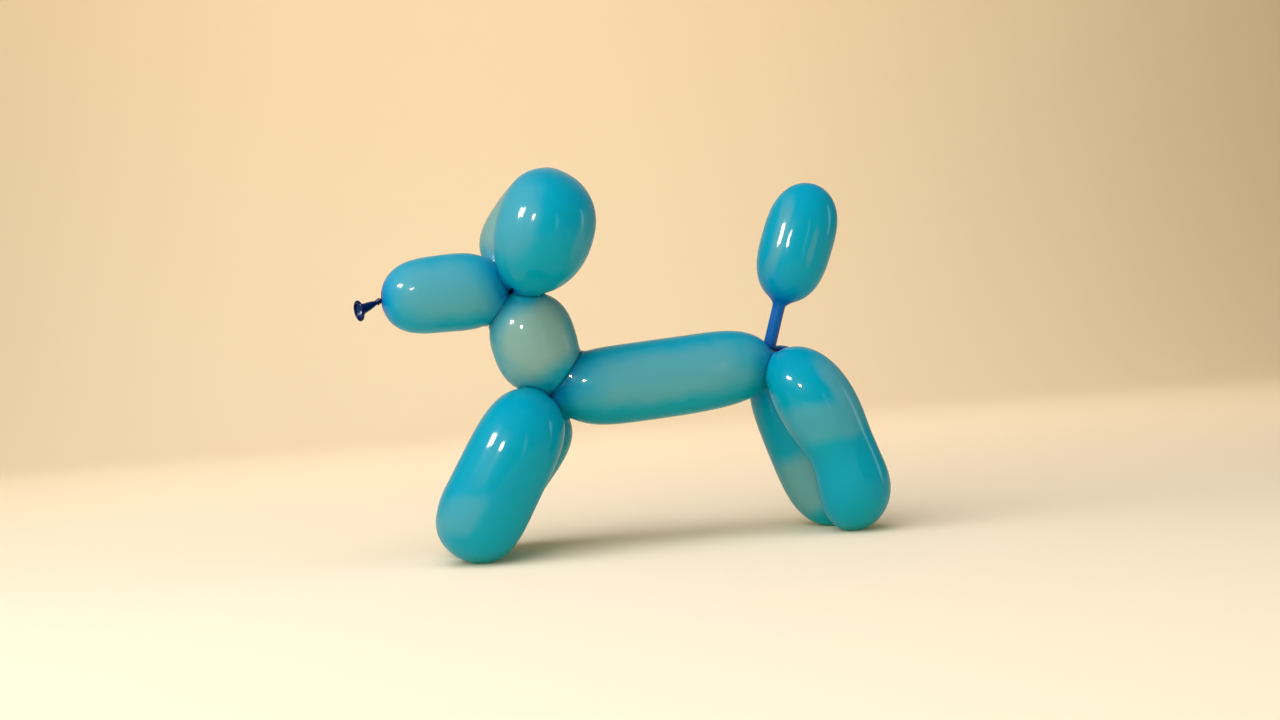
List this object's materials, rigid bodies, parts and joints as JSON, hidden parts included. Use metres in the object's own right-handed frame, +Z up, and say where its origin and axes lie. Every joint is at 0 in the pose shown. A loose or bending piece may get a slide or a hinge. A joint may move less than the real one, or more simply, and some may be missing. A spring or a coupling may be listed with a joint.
{
  "type": "balloon poodle",
  "caption": "Standing poodle twisted from one long blue-green latex balloon, with a tied nozzle at its nose and a ball tail on an empty stem.",
  "frame": {"origin": "on the floor under the middle of the poodle's box", "axes": "+Z up, -X the way the nose points, +X the tail, -Y the poodle's right-hand side as the maker names it, which faces the camera"},
  "size_m": [0.3222, 0.1152, 0.24],
  "materials": {
    "latex": "glossy stretched latex, cyan-blue to teal where it is inflated, and deep navy blue at the twists, the stem and the nozzle"
  },
  "bodies": {
    "root": {"twisted_balloon": "latex"}
  },
  "joints": []
}
